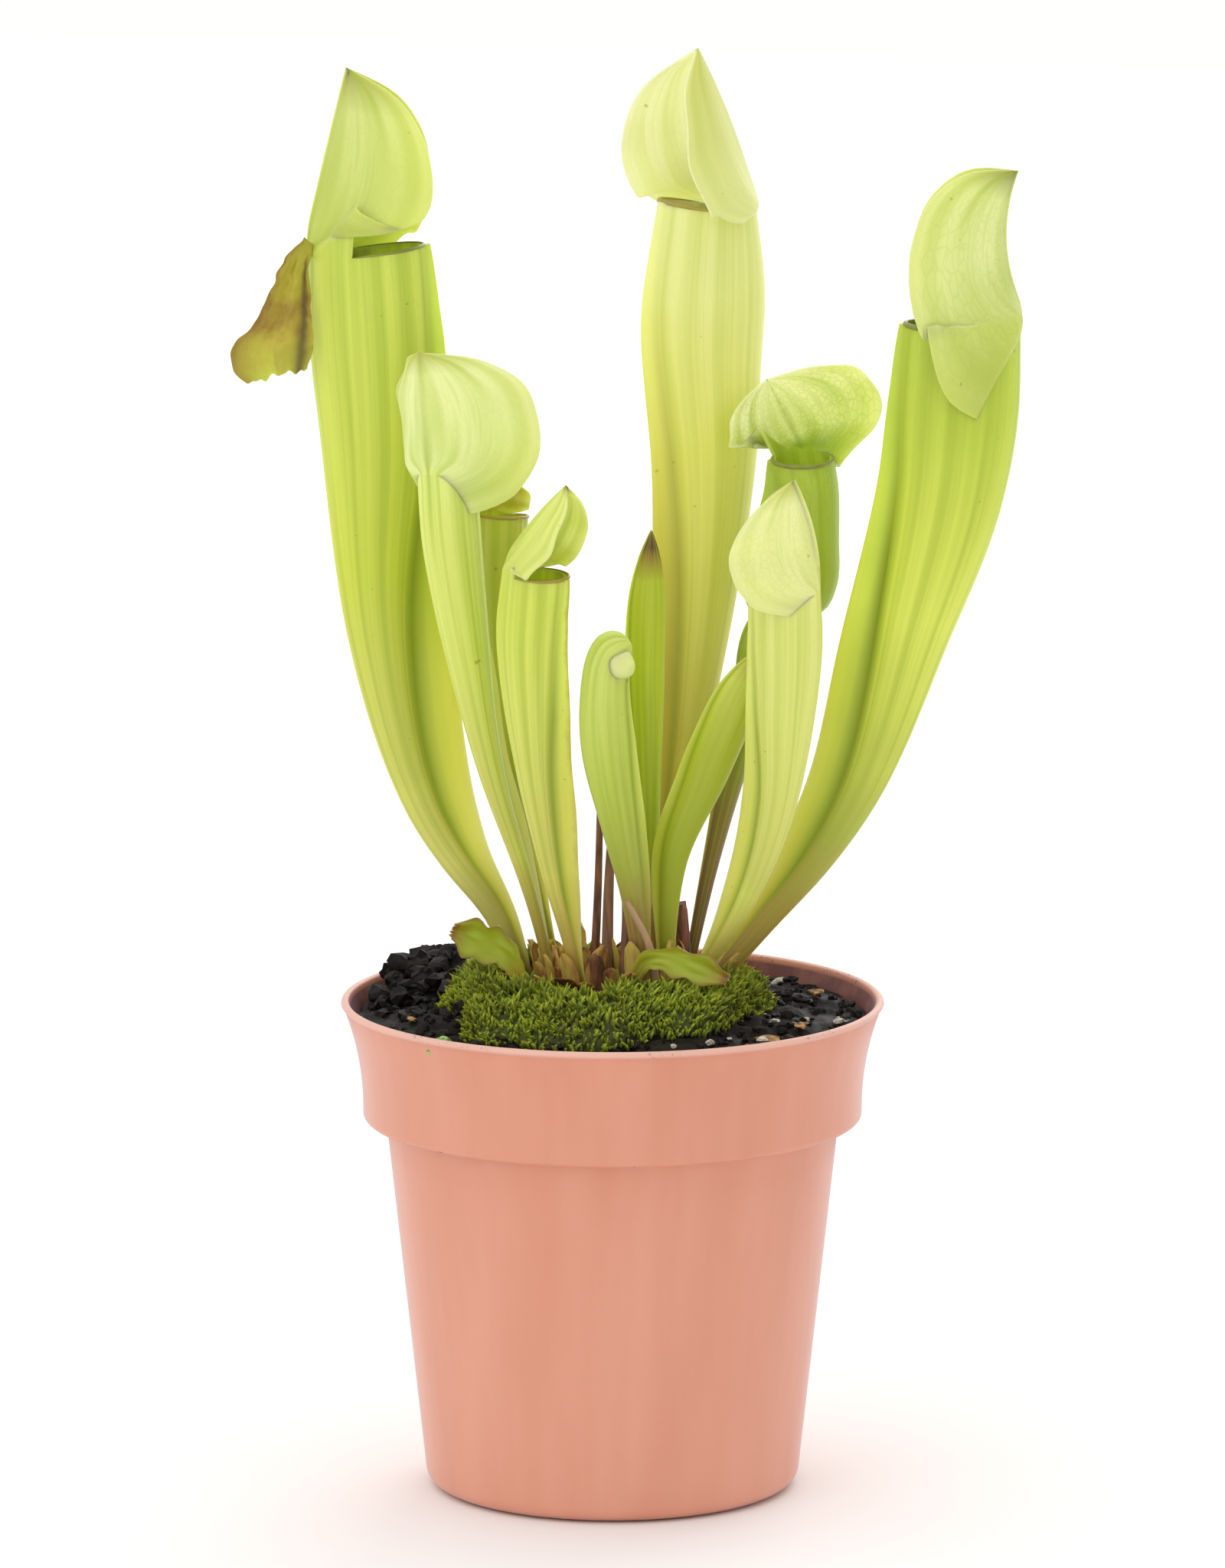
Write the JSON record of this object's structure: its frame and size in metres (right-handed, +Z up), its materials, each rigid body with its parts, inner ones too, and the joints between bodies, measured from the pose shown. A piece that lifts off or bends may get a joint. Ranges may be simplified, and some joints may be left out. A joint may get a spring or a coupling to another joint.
{
  "type": "potted pitcher plant",
  "caption": "Clump of trumpet-shaped pitcher leaves with folded hoods growing from peat and moss in a round plastic nursery pot.",
  "frame": {"origin": "centre of the pot's underside, on the surface that it stands on", "axes": "+Z up along the pot's axis, -Y towards the front of the plant, +X to the right of someone who faces that front"},
  "size_m": [0.1299, 0.09, 0.2381],
  "materials": {
    "pot_plastic": "semi-gloss terracotta-pink moulded polypropylene",
    "peat": null,
    "crown": "rough brown rhizome with old leaf bases",
    "moss": "matt bright green moss strands",
    "pitcher_leaf": null,
    "young_leaf": "satin green leaf",
    "withered_stalk": "matt dry brown and purple"
  },
  "bodies": {
    "root": {"pot": "pot_plastic", "soil": "peat", "crown": "crown", "moss": "moss", "pitcher_left_tall": "pitcher_leaf", "pitcher_centre_tall": "pitcher_leaf", "pitcher_right_tall": "pitcher_leaf", "pitcher_left_middle": "pitcher_leaf", "pitcher_left_small": "pitcher_leaf", "pitcher_left_back": "pitcher_leaf", "pitcher_right_back": "pitcher_leaf", "pitcher_right_small": "pitcher_leaf", "young_pitcher_curled": "young_leaf", "young_pitcher_leaning": "young_leaf", "young_pitcher_back": "young_leaf", "stub_leaf_left": "young_leaf", "scale_leaf_front": "young_leaf", "dead_stalk_tall": "withered_stalk", "dead_stalk_middle": "withered_stalk", "dead_stalk_short": "withered_stalk", "dead_stalk_pale": "withered_stalk", "dead_stub_dark": "withered_stalk"}
  },
  "joints": []
}
